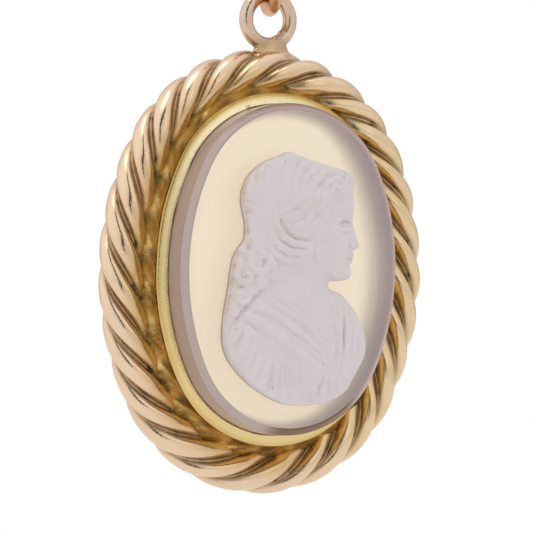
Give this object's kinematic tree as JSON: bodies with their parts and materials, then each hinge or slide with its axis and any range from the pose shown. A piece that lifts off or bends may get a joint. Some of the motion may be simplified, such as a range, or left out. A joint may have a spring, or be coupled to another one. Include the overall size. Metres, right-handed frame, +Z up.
{
  "type": "cameo pendant",
  "caption": "Oval hardstone cameo with a raised bust, set in a plain gold setting with a twisted rope border, hanging by a soldered loop from a jump ring.",
  "frame": {"origin": "inner top of the jump ring, on the vertical through the middle of the pendant, where a chain passes and bears", "axes": "+Z up as the pendant hangs, -Y the way the carved face looks, +X to the right of someone facing the carving"},
  "size_m": [0.027, 0.0097, 0.0424],
  "materials": {
    "ring_gold": "polished",
    "frame_gold": "polished",
    "carved_stone": "gloss"
  },
  "bodies": {
    "ring": {"jump_ring": "ring_gold"},
    "pendant": {"gold_frame": "frame_gold", "cameo_stone": "carved_stone"}
  },
  "joints": [
    {"name": "side_swing", "type": "hinge", "parent": "ring", "child": "pendant", "pos_m": [0, 0, -0.00469], "axis": [0.2588, 0.9659, 0], "range_deg": [-90, 90]}
  ]
}
